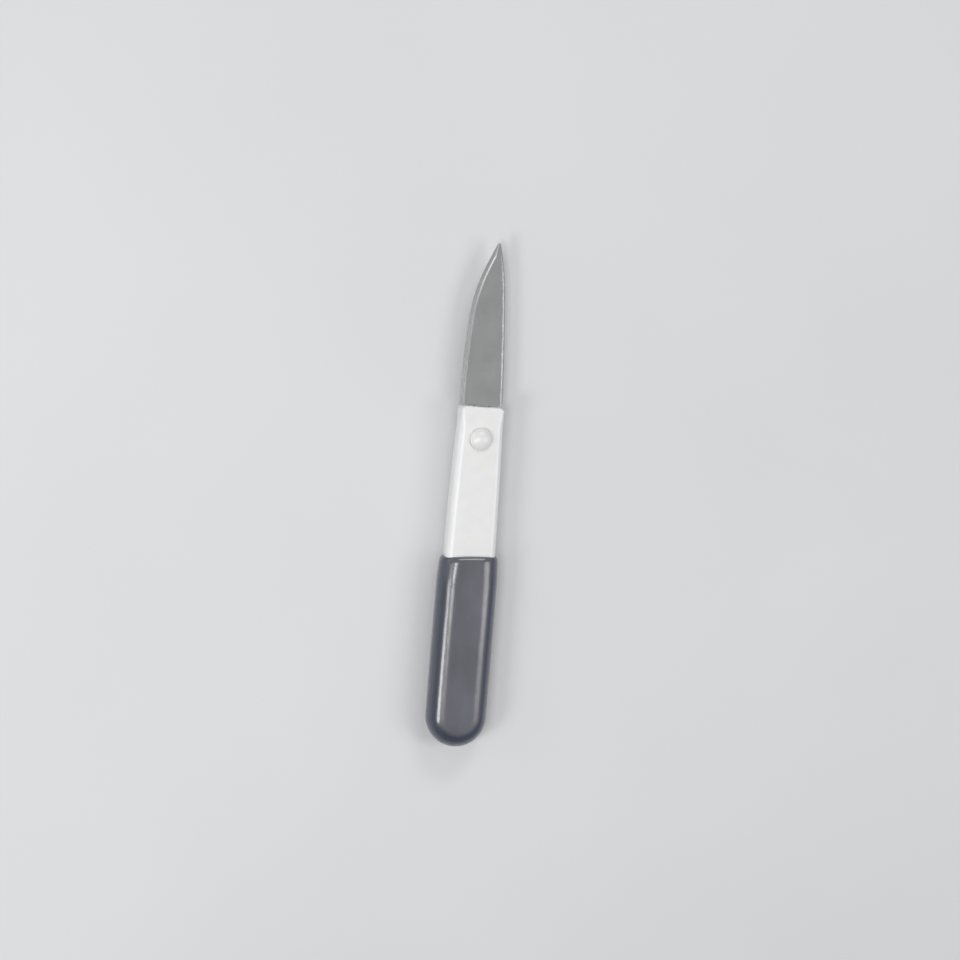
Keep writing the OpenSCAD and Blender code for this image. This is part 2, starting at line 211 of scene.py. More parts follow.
def moulded_plastic(name, colour, roughness, grain, coat=0.0):
    """Opaque moulded plastic with a faint mottle and a fine skin texture."""
    mat, shader = new_material(name, colour, roughness, Coat_Weight=coat, Coat_Roughness=0.32)
    mottle = noise(mat, 260, 4)
    tint(mat, mottle, scaled(colour, 0.97), scaled(colour, 1.01), shader.inputs["Base Color"])
    spread(mat, noise(mat, 900, 5), roughness * 0.88, roughness * 1.12, shader.inputs["Roughness"])
    bump(mat, shader, [(noise(mat, 160, 2), 0.00004, 0.2), (noise(mat, 5200, 3), grain, 0.35)])
    return mat


# painted shade: between these distances from the knife's middle line the sleeve darkens and turns
# bluer
SHADE_STARTS, SHADE_FULL = 6.6 * MM, 8.2 * MM  # distances from the knife's middle line
CORE_END_S = 11.4       # where the core's round end is centred


def painted_shade_distance(mat, wobble):
    """How far a point of the sleeve lies from the knife's middle line, in metres, measured
    round the butt too. It places the painted shade on the sleeve's sides and butt. wobble, a noise
    from 0 to 1, adds up to a millimetre."""
    nodes, links = mat.node_tree.nodes, mat.node_tree.links
    place = nodes.new("ShaderNodeTexCoord")
    split = nodes.new("ShaderNodeSeparateXYZ")
    links.new(place.outputs["Object"], split.inputs["Vector"])
    behind = nodes.new("ShaderNodeMath")
    behind.operation = "SUBTRACT"
    behind.inputs[0].default_value = (BUTT_Y + CORE_END_S) * MM
    links.new(split.outputs["Y"], behind.inputs[1])
    past = nodes.new("ShaderNodeMath")
    past.operation = "MAXIMUM"
    past.inputs[1].default_value = 0
    links.new(behind.outputs["Value"], past.inputs[0])
    flat = nodes.new("ShaderNodeCombineXYZ")
    links.new(split.outputs["X"], flat.inputs["X"])
    links.new(past.outputs["Value"], flat.inputs["Y"])
    length = nodes.new("ShaderNodeVectorMath")
    length.operation = "LENGTH"
    links.new(flat.outputs["Vector"], length.inputs[0])
    moved = nodes.new("ShaderNodeMath")
    moved.operation = "MULTIPLY_ADD"
    moved.inputs[1].default_value = MM
    links.new(wobble, moved.inputs[0])
    links.new(length.outputs["Value"], moved.inputs[2])
    return moved.outputs["Value"]


def soft_vinyl(name, face_colour, painted_shade_colour):
    """Glossy dipped vinyl, with painted shade: the first colour lies over the core's width and
    gives way to the second, deeper and bluer, on the sides and round the butt. The dipped skin has
    slow waves."""
    mat, shader = new_material(name, face_colour, 0.42, Coat_Weight=1.0, Coat_Roughness=0.19,
                               Coat_IOR=1.6)
    nodes, links = mat.node_tree.nodes, mat.node_tree.links
    cloud = noise(mat, 70, 5, (1, 0.5, 1))
    mix = nodes.new("ShaderNodeMix")
    mix.data_type = "RGBA"
    colours = [socket for socket in mix.inputs if socket.type == "RGBA"]
    tint(mat, cloud, scaled(face_colour, 0.7), scaled(face_colour, 1.26), colours[0])
    tint(mat, cloud, scaled(painted_shade_colour, 0.8), scaled(painted_shade_colour, 1.16), colours[1])
    # painted shade: this mix darkens the sleeve and turns it bluer towards its sides and butt
    spread(mat, painted_shade_distance(mat, cloud), 0, 1, mix.inputs["Factor"], SHADE_STARTS, SHADE_FULL)
    links.new(next(s for s in mix.outputs if s.type == "RGBA"), shader.inputs["Base Color"])
    spread(mat, noise(mat, 420, 4), 0.36, 0.5, shader.inputs["Roughness"])
    waves = noise(mat, 150, 3, (1, 0.4, 1))
    ripples = noise(mat, 620, 3, (1, 0.6, 1))
    bump(mat, shader, [(waves, 0.0004, 0.25)])
    bump(mat, shader, [(waves, 0.0004, 0.3), (ripples, 0.0001, 0.28)], "Coat Normal")
    return mat


def satin_steel(name, colour, roughness, stretch, scratch):
    """Steel with a directional satin finish. stretch squeezes the noise along the brushing."""
    mat, shader = new_material(name, colour, roughness, 1.0)
    lines = noise(mat, 2400, 4, stretch)
    patches = noise(mat, 120, 4)
    tint(mat, patches, scaled(colour, 0.94), scaled(colour, 1.05), shader.inputs["Base Color"])
    spread(mat, lines, roughness * 0.82, roughness * 1.2, shader.inputs["Roughness"])
    bump(mat, shader, [(lines, scratch, 0.3)])
    return mat


def plain_metal(name, colour, roughness, speck=1500):
    """Turned, pressed or sintered metal with a light mottle."""
    mat, shader = new_material(name, colour, roughness, 1.0)
    mottle = noise(mat, speck, 4)
    tint(mat, mottle, scaled(colour, 0.86), scaled(colour, 1.08), shader.inputs["Base Color"])
    spread(mat, noise(mat, speck * 2, 3), roughness * 0.8, roughness * 1.25,
           shader.inputs["Roughness"])
    bump(mat, shader, [(noise(mat, speck * 3, 3), 0.00001, 0.2)])
    return mat


def black_rubber(name):
    """Matt black rubber with a fine grain."""
    mat, shader = new_material(name, (0.02, 0.02, 0.021), 0.5)
    mottle = noise(mat, 2000, 4)
    tint(mat, mottle, (0.016, 0.016, 0.017), (0.03, 0.03, 0.031), shader.inputs["Base Color"])
    bump(mat, shader, [(mottle, 0.00001, 0.3)])
    return mat


MATERIALS = {
    "white_shell": moulded_plastic("white_shell", (0.77, 0.77, 0.76), 0.34, 0.000008, coat=0.25),
    "white_button": moulded_plastic("white_button", (0.74, 0.74, 0.73), 0.34, 0.000002, coat=0.45),
    # the sleeve's second colour is painted shade for its sides and butt
    "grey_sleeve": soft_vinyl("grey_sleeve", (0.092, 0.096, 0.115), (0.018, 0.026, 0.05)),
    "blade_steel": satin_steel("blade_steel", (0.79, 0.79, 0.78), 0.16, (1, 0.4, 1), 0.000001),
    "ground_steel": satin_steel("ground_steel", (0.62, 0.62, 0.63), 0.25, (0.1, 1, 0.1), 0.000003),
    "bearing_steel": plain_metal("bearing_steel", (0.7, 0.7, 0.71), 0.1),
    "spring_steel": plain_metal("spring_steel", (0.36, 0.36, 0.38), 0.26),
    "zinc_screw": plain_metal("zinc_screw", (0.6, 0.61, 0.63), 0.24, 900),
    "bronze": plain_metal("bronze", (0.56, 0.36, 0.19), 0.38, 4000),
    "cage_brass": plain_metal("cage_brass", (0.7, 0.5, 0.2), 0.25),
    "acetal": moulded_plastic("acetal", (0.7, 0.64, 0.52), 0.4, 0.000004),
    "black_rubber": black_rubber("black_rubber"),
}


# ---------------------------------------------------------------- mesh helpers
SHARP = math.radians(28)  # edges over this angle stay crisp
WELD_M = 1e-7             # points closer than this become one, in metres


def make_object(name, verts, faces):
    """An object at the origin from points in knife millimetres."""
    mesh = bpy.data.meshes.new(name)
    mesh.from_pydata([to_frame(*v) for v in verts], [], faces)
    obj = bpy.data.objects.new(name, mesh)
    bpy.context.collection.objects.link(obj)
    return obj


def tidy_mesh(obj, sharp=SHARP):
    """Welds, points the faces outwards, shades smooth and keeps the edges over sharp crisp."""
    mesh = bmesh.new()
    mesh.from_mesh(obj.data)
    bmesh.ops.remove_doubles(mesh, verts=mesh.verts, dist=WELD_M)
    bmesh.ops.dissolve_degenerate(mesh, edges=mesh.edges, dist=WELD_M)
    bmesh.ops.recalc_face_normals(mesh, faces=mesh.faces)
    for face in mesh.faces:
        face.smooth = True
    for edge in mesh.edges:
        edge.smooth = edge.calc_face_angle(0.0) < sharp
    mesh.to_mesh(obj.data)
    mesh.free()


def dress(obj, body, slot, *nodes):
    """Gives a piece the material of its slot and its body, and hides the CAD nodes that it stands
    for.
    """
    obj.data.materials.clear()
    obj.data.materials.append(MATERIALS[slot])
    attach(obj, body)
    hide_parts(*nodes)


def join_loops(faces, a, b):
    """Adds the closed band of quads between loops a and b, which are lists of point numbers."""
    for i in range(len(a)):
        j = (i + 1) % len(a)
        faces.append((a[i], a[j], b[j], b[i]))


def capped(loops):
    """Faces of a closed skin: a band between neighbouring loops, and a cap on each end."""
    faces = []
    for a, b in zip(loops, loops[1:]):
        join_loops(faces, a, b)
    return faces + [tuple(reversed(loops[0])), tuple(loops[-1])]


def lathe(profile, segments=64, axis="z", at=(0, 0, 0)):
    """Points and faces of a closed turned shape. profile is (radius, height) pairs from one
    end of its axis to the other. axis z stands up from the knife, s lies along it."""
    verts, rings, faces = [], [], []
    for radius, height in profile:
        ring = []
        for i in range(1 if radius == 0 else segments):
            a = 2 * math.pi * i / segments
            u, v = radius * math.cos(a), radius * math.sin(a)
            point = (u, v, height) if axis == "z" else (u, height, v)
            ring.append(len(verts))
            verts.append(tuple(p + q for p, q in zip(point, at)))
        rings.append(ring)
    for a, b in zip(rings, rings[1:]):
        if len(a) == 1 and len(b) == 1:
            continue
        for i in range(segments):
            j = (i + 1) % segments
            quad = (a[i % len(a)], a[j % len(a)], b[j % len(b)], b[i % len(b)])
            faces.append(tuple(dict.fromkeys(quad)))
    return verts, faces


def rod(radius, z1, z2, x, s, segments=32):
    """Points and faces of an upright cylinder."""
    return lathe([(0, z1), (radius, z1), (radius, z2), (0, z2)], segments, at=(x, s, 0))


def block(x1, x2, s1, s2, z1, z2):
    """Points and faces of a box."""
    verts = [(x, s, z) for z in (z1, z2) for s in (s1, s2) for x in (x1, x2)]
    faces = [(0, 2, 3, 1), (4, 5, 7, 6), (0, 1, 5, 4), (2, 6, 7, 3), (0, 4, 6, 2), (1, 3, 7, 5)]
    return verts, faces


def merged(shapes):
    """Several (points, faces) pairs as one."""
    verts, faces = [], []
    for points, polygons in shapes:
        start = len(verts)
        verts += points
        faces += [tuple(i + start for i in polygon) for polygon in polygons]
    return verts, faces


def cut(obj, shapes, operation="DIFFERENCE"):
    """Cuts shapes that don't touch each other out of obj, or unites them with it."""
    tool = make_object("tool", *merged(shapes))
    tidy_mesh(tool)
    modifier = obj.modifiers.new("cut", "BOOLEAN")
    modifier.operation = operation
    modifier.solver = "EXACT"
    modifier.object = tool
    graph = bpy.context.evaluated_depsgraph_get()
    done = bpy.data.meshes.new_from_object(obj.evaluated_get(graph))
    obj.modifiers.clear()
    obj.data = done
    bpy.data.objects.remove(tool)


# ---------------------------------------------------------------- grip sleeve
def half_profile(w, t, r, flat_steps=4, arc_steps=12):
    """The right half of a rounded rectangle, as (x, z) from the top's middle to the bottom's."""
    top = [((w / 2 - r) * i / flat_steps, t / 2) for i in range(flat_steps)]
    arc = [(w / 2 - r + r * math.sin(a), t / 2 - r + r * math.cos(a))
           for a in (math.pi / 2 * i / arc_steps for i in range(arc_steps + 1))]
    upper = top + arc
    return upper + [(x, -z) for x, z in reversed(upper)]


def section_loop(verts, s, profile):
    """Adds a closed section loop at s and returns its point numbers."""
    start = len(verts)
    verts += [(x, s, z) for x, z in profile]
    verts += [(-x, s, z) for x, z in reversed(profile[1:-1])]
    return list(range(start, len(verts)))


def round_end(verts, faces, loop, profile, centre_s, steps=36):
    """Closes a section loop at centre_s with a half-round butt."""
    count = len(profile)
    last = loop[:count]
    left = [loop[0]] + loop[:count - 2:-1]
    for k in range(1, steps + 1):
        a = math.pi * k / steps
        if k == steps:
            column = left
        else:
            start = len(verts)
            verts += [(x * math.cos(a), centre_s - x * math.sin(a), z)
                      for x, z in profile[1:-1]]
            column = [loop[0]] + list(range(start, len(verts))) + [loop[count - 1]]
        for i in range(count - 1):
            quad = (last[i], last[i + 1], column[i + 1], column[i])
            faces.append(tuple(dict.fromkeys(quad)))
        last = column


BOX_GAP = 0.05          # how far the sleeve's sides start inside their CAD box
SWELL, DRAW_IN = 0.12, 0.3  # the sides' growth in the middle and their loss at the lip
NEAR_LIP = 9            # the stretch over which the sleeve feels its lip
LIP_RUN = 2.2           # length of the lip's round
LIP_IN_X, LIP_IN_Z = 0.9, 1.3  # how far the round draws in, across and in thickness
LIP_EDGE_LOSS = 1.5     # how much the long edges' round shrinks there
LIP_FROWN = 0.5         # how far the lip's sides lie behind its middle
LIP_SLANT = 0.06        # slope of the lip's line, from a slightly slanted dip
LIP_LEVEL_X = -1.5      # where the slanted line crosses the square mouth
LIP_BACK = 0.1          # how far behind the mouth the inner wall starts


def lip_shift(x, s):
    """How far a point near the lip moves along the knife."""
    nearness = smoothstep((s - GRIP_L + NEAR_LIP) / NEAR_LIP)
    across = x / (GRIP_W / 2)
    return nearness * (-LIP_FROWN * across ** 2 + LIP_SLANT * (x - LIP_LEVEL_X))


def make_sleeve():
    """The sleeve: outer skin, rolled lip, inner wall round the shells, and both round butts."""
    verts, faces, loops = [], [], []
    butt_s = GRIP_W / 2
    stations, lip_steps, inner_stations = 72, 14, 24

    def outer(s, inset=0.0):
        """The section at s. It swells in the middle of the sleeve and draws in at the lip."""
        swell = SWELL * math.sin(math.pi * min(1.0, s / GRIP_L))
        draw = DRAW_IN * (1 - smoothstep((GRIP_L - s) / NEAR_LIP))
        half_w = GRIP_W / 2 - BOX_GAP + swell - draw - inset * LIP_IN_X
        half_t = GRIP_T / 2 - inset * LIP_IN_Z
        return half_profile(2 * half_w, 2 * half_t, GRIP_EDGE_R - inset * LIP_EDGE_LOSS)

    first = outer(butt_s)
    loops.append(section_loop(verts, butt_s, first))
    for i in range(1, stations + 1):
        s = butt_s + (GRIP_L - LIP_RUN - butt_s) * i / stations
        loops.append(section_loop(verts, s, outer(s)))
    for i in range(1, lip_steps + 1):
        a = math.pi / 2 * i / lip_steps
        s = GRIP_L - LIP_RUN + LIP_RUN * math.sin(a)
        loops.append(section_loop(verts, s, outer(s, 1 - math.cos(a))))
    inner = half_profile(BODY_W + 2 * SLIP, BODY_T + 2 * SLIP, BODY_EDGE_R)
    inner_end_s = BUTT_WALL + BODY_W / 2
    for i in range(inner_stations + 1):
        s = GRIP_L - LIP_BACK + (inner_end_s - GRIP_L + LIP_BACK) * i / inner_stations
        loops.append(section_loop(verts, s, inner))
    for a, b in zip(loops, loops[1:]):
        join_loops(faces, a, b)
    round_end(verts, faces, loops[0], first, butt_s)
    round_end(verts, faces, loops[-1], inner, inner_end_s)
    verts = [(x, s + lip_shift(x, s), z) for x, s, z in verts]
    sleeve = make_object("grip_sleeve_skin", verts, faces)
    tidy_mesh(sleeve, sharp=math.radians(50))
    dress(sleeve, "handle", "grey_sleeve", "grip_sleeve")


# ---------------------------------------------------------------- handle shells
def body_half_w(s):
    """Half the body's width at s."""
    if s <= SWEEP_S:
        return BODY_W / 2
    return BODY_W / 2 - SIDE_SWEEP_R + math.sqrt(SIDE_SWEEP_R ** 2 - (s - SWEEP_S) ** 2)


def edge_radius(s):
    """The long edges' round at s. It tightens before the mouth."""
    return NOSE_EDGE_R + (BODY_EDGE_R - NOSE_EDGE_R) * smoothstep((HANDLE_L - s) / NOSE_EDGE_RUN)


def body_outline():
    """The right half of the outline, from the butt to the mouth's middle:
    (x, s, outward x, outward s, edge radius)."""
    end_steps, side_steps, corner_steps, mouth_steps = 24, 60, 10, 8
    points = []
    end_r = BODY_W / 2
    for i in range(end_steps + 1):
        a = math.pi / 2 * i / end_steps
        points.append((end_r * math.sin(a), BUTT_WALL + end_r - end_r * math.cos(a),
                       math.sin(a), -math.cos(a), BODY_EDGE_R))
    corner_s = HANDLE_L - NOSE_CORNER_R
    start_s = BUTT_WALL + end_r
    for i in range(1, side_steps + 1):
        s = start_s + (corner_s - start_s) * i / side_steps
        points.append((body_half_w(s), s, 1, 0, edge_radius(s)))
    corner_x = body_half_w(corner_s) - NOSE_CORNER_R
    for i in range(1, corner_steps + 1):
        a = math.pi / 2 * i / corner_steps
        out_x, out_s = math.cos(a), math.sin(a)
        points.append((corner_x + NOSE_CORNER_R * out_x, corner_s + NOSE_CORNER_R * out_s,
                       out_x, out_s, NOSE_EDGE_R))
    for i in range(1, mouth_steps + 1):
        points.append((corner_x * (1 - i / mouth_steps), HANDLE_L, 0, 1, NOSE_EDGE_R))
    return points


def shell_levels(r):
    """(inset, height) pairs from the split plane to the front face, for edge radius r."""
    steps = 8
    levels = [(PARTING_W, 0), (0, PARTING_W), (0, BODY_T / 2 - r)]
    for i in range(1, steps + 1):
        a = math.pi / 2 * i / steps
        levels.append((r * (1 - math.cos(a)), BODY_T / 2 - r + r * math.sin(a)))
    return levels


def half_body(name):
    """A solid front half of the handle, with its split plane at z = 0."""
    right = body_outline()
    left = [(-x, s, -nx, ns, r) for x, s, nx, ns, r in reversed(right[1:-1])]
    outline = right + left
    verts, loops = [], []
    for k in range(len(shell_levels(BODY_EDGE_R))):
        start = len(verts)
        for x, s, nx, ns, r in outline:
            inset, z = shell_levels(r)[k]
            verts.append((x - nx * inset, s - ns * inset, z))
        loops.append(list(range(start, len(verts))))
    return make_object(name, verts, capped(loops))


OVER = 0.5              # how far a cutting shape runs past the split
PAST = 1                # and past the front or the back face
FLUSH = 0.001           # keeps a bevel's end off the face that it meets
SEAT_R = 2.87           # the hole that the spring seat sits in,
SEAT_DEPTH = 3.22       # and its depth in the back shell
HOLE_R = 3.7            # the button's hole
HOLE_BEVEL = 0.03
POCKET_Z = 2.0          # floor of the pocket that the button and its lugs sink into,
POCKET_X, POCKET_S = 4.5, 2.5  # and its half sizes
WALL_T = 1.0            # the wall over the pocket
DOWEL_R, DOWEL_REACH = 0.75, 1.9
SHANK_R, PILOT_DEPTH = 0.75, 3.2
SHANK_ROOM_R = 0.85     # the screws' hole in the back shell
WELL_R, WELL_DEPTH, WELL_BEVEL = 1.4, 1.2, 0.12
HEAD_S = HANDLE_L - 6.0  # where the spindle's head starts
END_ROOM_S = 83.6       # where the spindle's room starts
BEARING_S = (87.48, 90.02)
RING_ROOM_S = (93.3, 95.1)
SPINDLE_ROOM = [        # (radius, s) pairs
    (0, END_ROOM_S), (2.6, END_ROOM_S), (2.6, BEARING_S[0]),  # clip and shim
    (3.02, BEARING_S[0]), (3.02, BEARING_S[1]),               # bearing
    (2.2, BEARING_S[1]), (2.2, RING_ROOM_S[0]),               # shaft
    (2.5, RING_ROOM_S[0]), (2.5, RING_ROOM_S[1]),             # drag ring
    (2.2, RING_ROOM_S[1]), (2.2, HEAD_S - 0.2),               # shaft
    (3.3, HEAD_S - 0.2), (3.3, HEAD_S + 0.48),                # head
    (3.72, HEAD_S + 0.48), (3.72, HEAD_S + 5.02),             # bush
    (3.3, HEAD_S + 5.02), (3.3, HANDLE_L - 0.2),              # head
    (3.5, HANDLE_L + 0.02), (3.5, HANDLE_L + 0.6), (0, HANDLE_L + 0.6),  # bevel at the mouth
]
SCREWS = [(-5.4, 107), (5.4, 107), (-5.4, 76), (5.4, 76), (0, 44), (0, 16)]  # (x, s)
DOWELS = [(5.3, 95), (-5.3, 66)]  # (x, s)
HOLLOWS = [(6.5, 12.5, 5), (19.5, 40.5, 6.2), (47.5, 61.5, 6.2), (65, 80.5, 3.6)]  # (s, s, half w)
HOLLOW_Z = 2.9


def common_cutters():
    """What is cut out of both shells: the spindle's room, the hollows and the dowel holes."""
    shapes = [lathe(SPINDLE_ROOM, axis="s")]
    shapes += [block(-w, w, s1, s2, -OVER, HOLLOW_Z) for s1, s2, w in HOLLOWS]
    shapes += [rod(DOWEL_R + SLIP, -OVER, DOWEL_REACH, x, s) for x, s in DOWELS]
    return shapes


def make_front_shell():
    """The front shell, with the button's stepped hole and pocket, and the screws' pilots."""
    shell = half_body("front_shell_skin")
    top = BODY_T / 2
    pilots = [rod(SHANK_R + SLIP, -OVER, PILOT_DEPTH, x, s) for x, s in SCREWS]
    cut(shell, common_cutters() + pilots)
    stack = [(0, -OVER), (SEAT_R, -OVER), (SEAT_R, POCKET_Z), (HOLE_R, POCKET_Z),
             (HOLE_R, top - HOLE_BEVEL), (HOLE_R + HOLE_BEVEL, top + FLUSH),
             (HOLE_R + HOLE_BEVEL, top + PAST), (0, top + PAST)]
    cut(shell, [lathe(stack, 96, at=(0, BUTTON_S, 0))])
    cut(shell, [block(-POCKET_X, POCKET_X, BUTTON_S - POCKET_S, BUTTON_S + POCKET_S,
                      POCKET_Z, top - WALL_T)])
    tidy_mesh(shell)
    dress(shell, "handle", "white_shell", "front_shell")


def make_back_shell():
    """The back shell, with the screws' wells and the hole for the spring seat's foot. It is
    cut as a front half and then mirrored at the split."""
    shell = half_body("back_shell_skin")
    top = BODY_T / 2
    well = [(0, -OVER), (SHANK_ROOM_R, -OVER), (SHANK_ROOM_R, top - WELL_DEPTH),
            (WELL_R, top - WELL_DEPTH), (WELL_R, top - WELL_BEVEL),
            (WELL_R + WELL_BEVEL, top + FLUSH), (WELL_R + WELL_BEVEL, top + PAST), (0, top + PAST)]
    cut(shell, common_cutters() + [lathe(well, 48, at=(x, s, 0)) for x, s in SCREWS])
    cut(shell, [rod(SEAT_R, -OVER, SEAT_DEPTH, 0, BUTTON_S, 64)])
    for vertex in shell.data.vertices:
        vertex.co.z = 2 * AXIS_Z * MM - vertex.co.z
    tidy_mesh(shell)
    dress(shell, "handle", "white_shell", "back_shell")


# ---------------------------------------------------------------- button, spring, screws
def make_button():
    """The button's dome, with a softened rim, its hollow skirt, the pin boss and two lugs."""
    radius, rise, skirt_z = 3.68, 1.8, 3.05
    rim_w, rim_drop, foot_bevel = 0.35, 0.85, 0.1
    skirt_r, step_z, step = 3.0, 4.5, 0.1       # the skirt's wide room
    spring_r, roof_z = 2.65, 5.3                # the spring's room above it
    boss_r, boss_z, pin_r, pin_top_z = 1.0, 4.4, 0.51, 5.97
    lug_x1, lug_x2, lug_s, lug_t = 3.3, 4.38, 2.4, 0.5
    dome_steps, rim_steps = 28, 6
    dome_r = (radius ** 2 + rise ** 2) / (2 * rise)
    centre_z = BUTTON_TOP_Z - dome_r
    rim_angle = math.asin((radius - rim_w) / dome_r)
    outer = [(0, BUTTON_TOP_Z)]
    for i in range(1, dome_steps + 1):
        a = rim_angle * i / dome_steps
        outer.append((dome_r * math.sin(a), centre_z + dome_r * math.cos(a)))
    rim_x, rim_z = outer[-1]
    for i in range(1, rim_steps + 1):
        a = math.pi / 2 * i / rim_steps
        outer.append((rim_x + (radius - rim_x) * math.sin(a), rim_z - rim_drop * (1 - math.cos(a))))
    outer += [(radius, skirt_z + foot_bevel), (radius - foot_bevel, skirt_z)]
    inner = [(skirt_r, skirt_z), (skirt_r, step_z), (spring_r, step_z + step), (spring_r, roof_z),
             (boss_r, roof_z), (boss_r, boss_z), (pin_r, boss_z), (pin_r, pin_top_z), (0, pin_top_z)]
    cap = make_object("button_dome", *lathe(outer + inner, 96, at=(0, BUTTON_S, 0)))
    lugs = [block(side * lug_x1, side * lug_x2, BUTTON_S - lug_s, BUTTON_S + lug_s,
                  skirt_z, skirt_z + lug_t) for side in (-1, 1)]
    cut(cap, lugs, "UNION")
    tidy_mesh(cap, sharp=math.radians(35))
    dress(cap, "lock_button", "white_button", "button_cap")


def make_spring():
    """The button's coil spring, with its foot on the seat."""
    wire_r, turns, steps_per_turn, sides = 0.18, 3.5, 40, 14
    lo, hi = box_mm("button_spring")
    coil_r = (hi.x - lo.x) / 2 - wire_r
    foot_z, top_z = lo.z - AXIS_Z, hi.z - AXIS_Z
    rise = top_z - foot_z - 2 * wire_r
    steps = round(turns * steps_per_turn)
    verts, loops = [], []
    for i in range(steps + 1):
        a = 2 * math.pi * i / steps_per_turn
        start = len(verts)
        for k in range(sides):
            b = 2 * math.pi * k / sides
            r = coil_r + wire_r * math.cos(b)
            z = foot_z + wire_r + rise * i / steps + wire_r * math.sin(b)
            verts.append((r * math.cos(a), BUTTON_S + r * math.sin(a), z))
        loops.append(list(range(start, len(verts))))
    spring = make_object("lock_spring_coil", verts, capped(loops))
    tidy_mesh(spring)
    spring.data.materials.append(MATERIALS["spring_steel"])
    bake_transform(spring)
    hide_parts("button_spring")


def make_screws():
    """Six pan-head screws with a cross recess and a rolled thread. Heads face the back."""
    head_r, head_h, tip_z = 1.3, 1.0, 3.0
    pitch, thread_depth, thread_start, thread_end = 0.55, 0.16, 0.4, 0.9
    neck_in, tip_h, point_r, point_h = 0.08, 0.8, 0.2, 0.05
    slot_l, slot_w, slot_depth = 0.85, 0.19, 0.55   # half length and half width
    seat_z = -BODY_T / 2 + WELL_DEPTH
    head_z = seat_z - head_h
    root_r = SHANK_R - thread_depth
    crown = [(0, head_z), (0.6, head_z + 0.02), (1.0, head_z + 0.12), (1.2, head_z + 0.3),
             (head_r, head_z + 0.55), (head_r, seat_z), (SHANK_R - neck_in, seat_z)]
    thread = []
    z = seat_z + thread_start
    while z < tip_z - thread_end:
        thread += [(root_r, z), (SHANK_R, z + pitch * 0.45), (SHANK_R, z + pitch * 0.55)]
        z += pitch
    tip = [(root_r, tip_z - tip_h), (point_r, tip_z - point_h), (0, tip_z)]
    screws = make_object("screw_set", *merged(
        [lathe(crown + thread + tip, 40, at=(x, s, 0)) for x, s in SCREWS]))
    for along, across in ((slot_l, slot_w), (slot_w, slot_l)):
        cut(screws, [block(x - along, x + along, s - across, s + across,
                           head_z - OVER, head_z + slot_depth) for x, s in SCREWS])
    tidy_mesh(screws, sharp=math.radians(32))
    dress(screws, "handle", "zinc_screw", "shell_screws")


# ---------------------------------------------------------------- blade
HEEL_S = HANDLE_L + 0.35  # where the blade starts, just clear of the handle
BLADE_L = OVERALL_L - HEEL_S
EDGE_REACH, SPINE_REACH = 7.3, 6.9  # from the swivel axis, at the heel
TIP_X, TIP_W = 1.2, 0.8   # the tip's edge side and its blunt width
BEVEL_W, CHAMFER_W = 1.6, 0.85
BEVEL_SHARE, CHAMFER_SHARE = 0.42, 0.22  # the most of the blade's width that they take
TIP_ROUND_L, TIP_ROUND_X = 0.5, 0.25  # length of the tip's round and what it takes off a side
EDGE_START_S = HEEL_S + 3  # the edge is straight up to here
EDGE_R = 330.0            # the edge's long arc,
BELLY_S = HEEL_S + 0.53 * BLADE_L  # up to here,
BELLY_R = 50.0            # then its tighter arc
SPINE_SLOPE, SPINE_R = 0.038, 900.0
DROP_L = 16.0             # the last stretch of the spine, which drops to the tip
TANG_X = 2.0              # half the tang's width
TANG_REACH, TANG_ROOT = 5.4, 0.8  # from the mouth into the handle, and from the heel into the blade
PIN_HOLE_R, PIN_DEPTHS = 0.47, (4.2, 1.8)  # the tang's pin holes, from the mouth inwards


def long_edge_x(s):
    """The edge's straight start and its long arc."""
    return -EDGE_REACH + max(s - EDGE_START_S, 0) ** 2 / (2 * EDGE_R)


def edge_x(s):
    """The cutting edge: a long arc, a tighter arc, then a straight run to the tip."""
    if s < BELLY_S:
        return long_edge_x(s)
    d, run = s - BELLY_S, OVERALL_L - BELLY_S
    start, slope = long_edge_x(BELLY_S), (BELLY_S - EDGE_START_S) / EDGE_R
    left = TIP_X - start - slope * run
    bend = run * (1 - math.sqrt(max(0, 1 - 2 * BELLY_R * left / run ** 2)))
    if d < bend:
        return start + slope * d + d * d / (2 * BELLY_R)
    return start + slope * d + bend ** 2 / (2 * BELLY_R) + bend / BELLY_R * (d - bend)


def long_spine_x(d):
    """The spine's long arc, at d from the heel."""
    return SPINE_REACH - SPINE_SLOPE * d - d * d / (2 * SPINE_R)


def spine_x(s):
    """The spine: a shallow arc that drops to the tip over its last stretch."""
    d = s - HEEL_S
    fall = max(0, d - BLADE_L + DROP_L)
    return long_spine_x(d) - (long_spine_x(BLADE_L) - TIP_X - TIP_W) * (fall / DROP_L) ** 2


EDGE_Z = 0.05           # half the thickness that is left at the cutting edge
BEVEL_RISE = 0.12       # slope of the bevel
SHOULDER = 0.28         # share of the bevel's width that the steeper shoulder takes
CHAMFER_LINE = [(1, 1), (0.41, 0.567), (0, 0.12)]  # (share of chamfer, share of half thickness)


def blade_section(s):
    """(x, z) points over the front face: edge, bevel, shoulder, flat, chamfer and spine."""
    edge, spine = edge_x(s), spine_x(s)
    bevel = min(BEVEL_W, BEVEL_SHARE * (spine - edge))
    chamfer = min(CHAMFER_W, CHAMFER_SHARE * (spine - edge))
    half_t = EDGE_Z + (BLADE_T / 2 - EDGE_Z) * bevel / BEVEL_W  # it thins towards the tip
    to_tip = OVERALL_L - s
    if to_tip < TIP_ROUND_L:
        ease = TIP_ROUND_X * (1 - math.sqrt(1 - (1 - to_tip / TIP_ROUND_L) ** 2))
        edge, spine = edge + ease, spine - ease
    ground = bevel * (1 - SHOULDER)
    front = [(edge, EDGE_Z), (edge + ground, EDGE_Z + ground * BEVEL_RISE), (edge + bevel, half_t)]
    return front + [(spine - chamfer * across, half_t * up) for across, up in CHAMFER_LINE]


